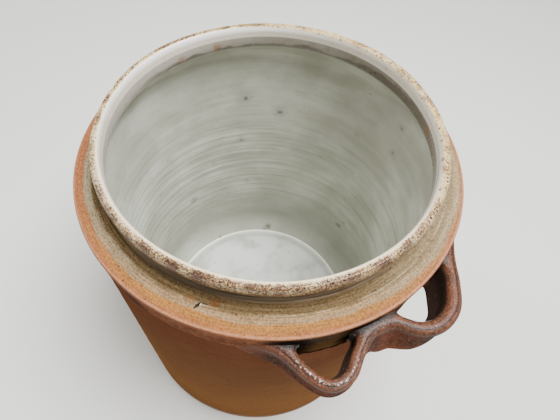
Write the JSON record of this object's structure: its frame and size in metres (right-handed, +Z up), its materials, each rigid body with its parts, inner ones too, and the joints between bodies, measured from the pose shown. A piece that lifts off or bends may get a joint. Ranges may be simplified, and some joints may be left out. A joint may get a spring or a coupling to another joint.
{
  "type": "fermenting crock",
  "caption": "Open salt-glazed stoneware crock with a rolled rim, recessed neck, sloping shoulder and wavy double-loop strap handles, for salting or fermenting food.",
  "frame": {"origin": "centre of the underside, on the surface that the crock stands on", "axes": "+Z up along the pot's axis; +X through the middle of the first handle; +Y completes a right-handed frame"},
  "size_m": [0.3973, 0.3316, 0.374],
  "materials": {
    "floor_glaze": "satin pale grey-green liner glaze on the floor, unglazed and worn underneath",
    "wall_glaze": "satin salt glaze over tan stoneware outside, pale grey-green liner glaze with throwing rings inside",
    "shoulder_glaze": "satin salt glaze, red-brown with fine combed lines on the band, olive grey on the ledge",
    "neck_glaze": "satin olive-grey salt glaze outside, lilac-grey liner glaze inside",
    "rim_glaze": "satin cream glaze speckled with orange-brown iron along its outer side",
    "strap_glaze": "glossy red-brown salt glaze, dark and dull on the inner faces"
  },
  "bodies": {
    "root": {"base_slab": "floor_glaze", "lower_wall": "wall_glaze", "shoulder": "shoulder_glaze", "neck_collar": "neck_glaze", "rim_roll": "rim_glaze", "strap_handle_a": "strap_glaze", "strap_handle_b": "strap_glaze"}
  },
  "joints": []
}
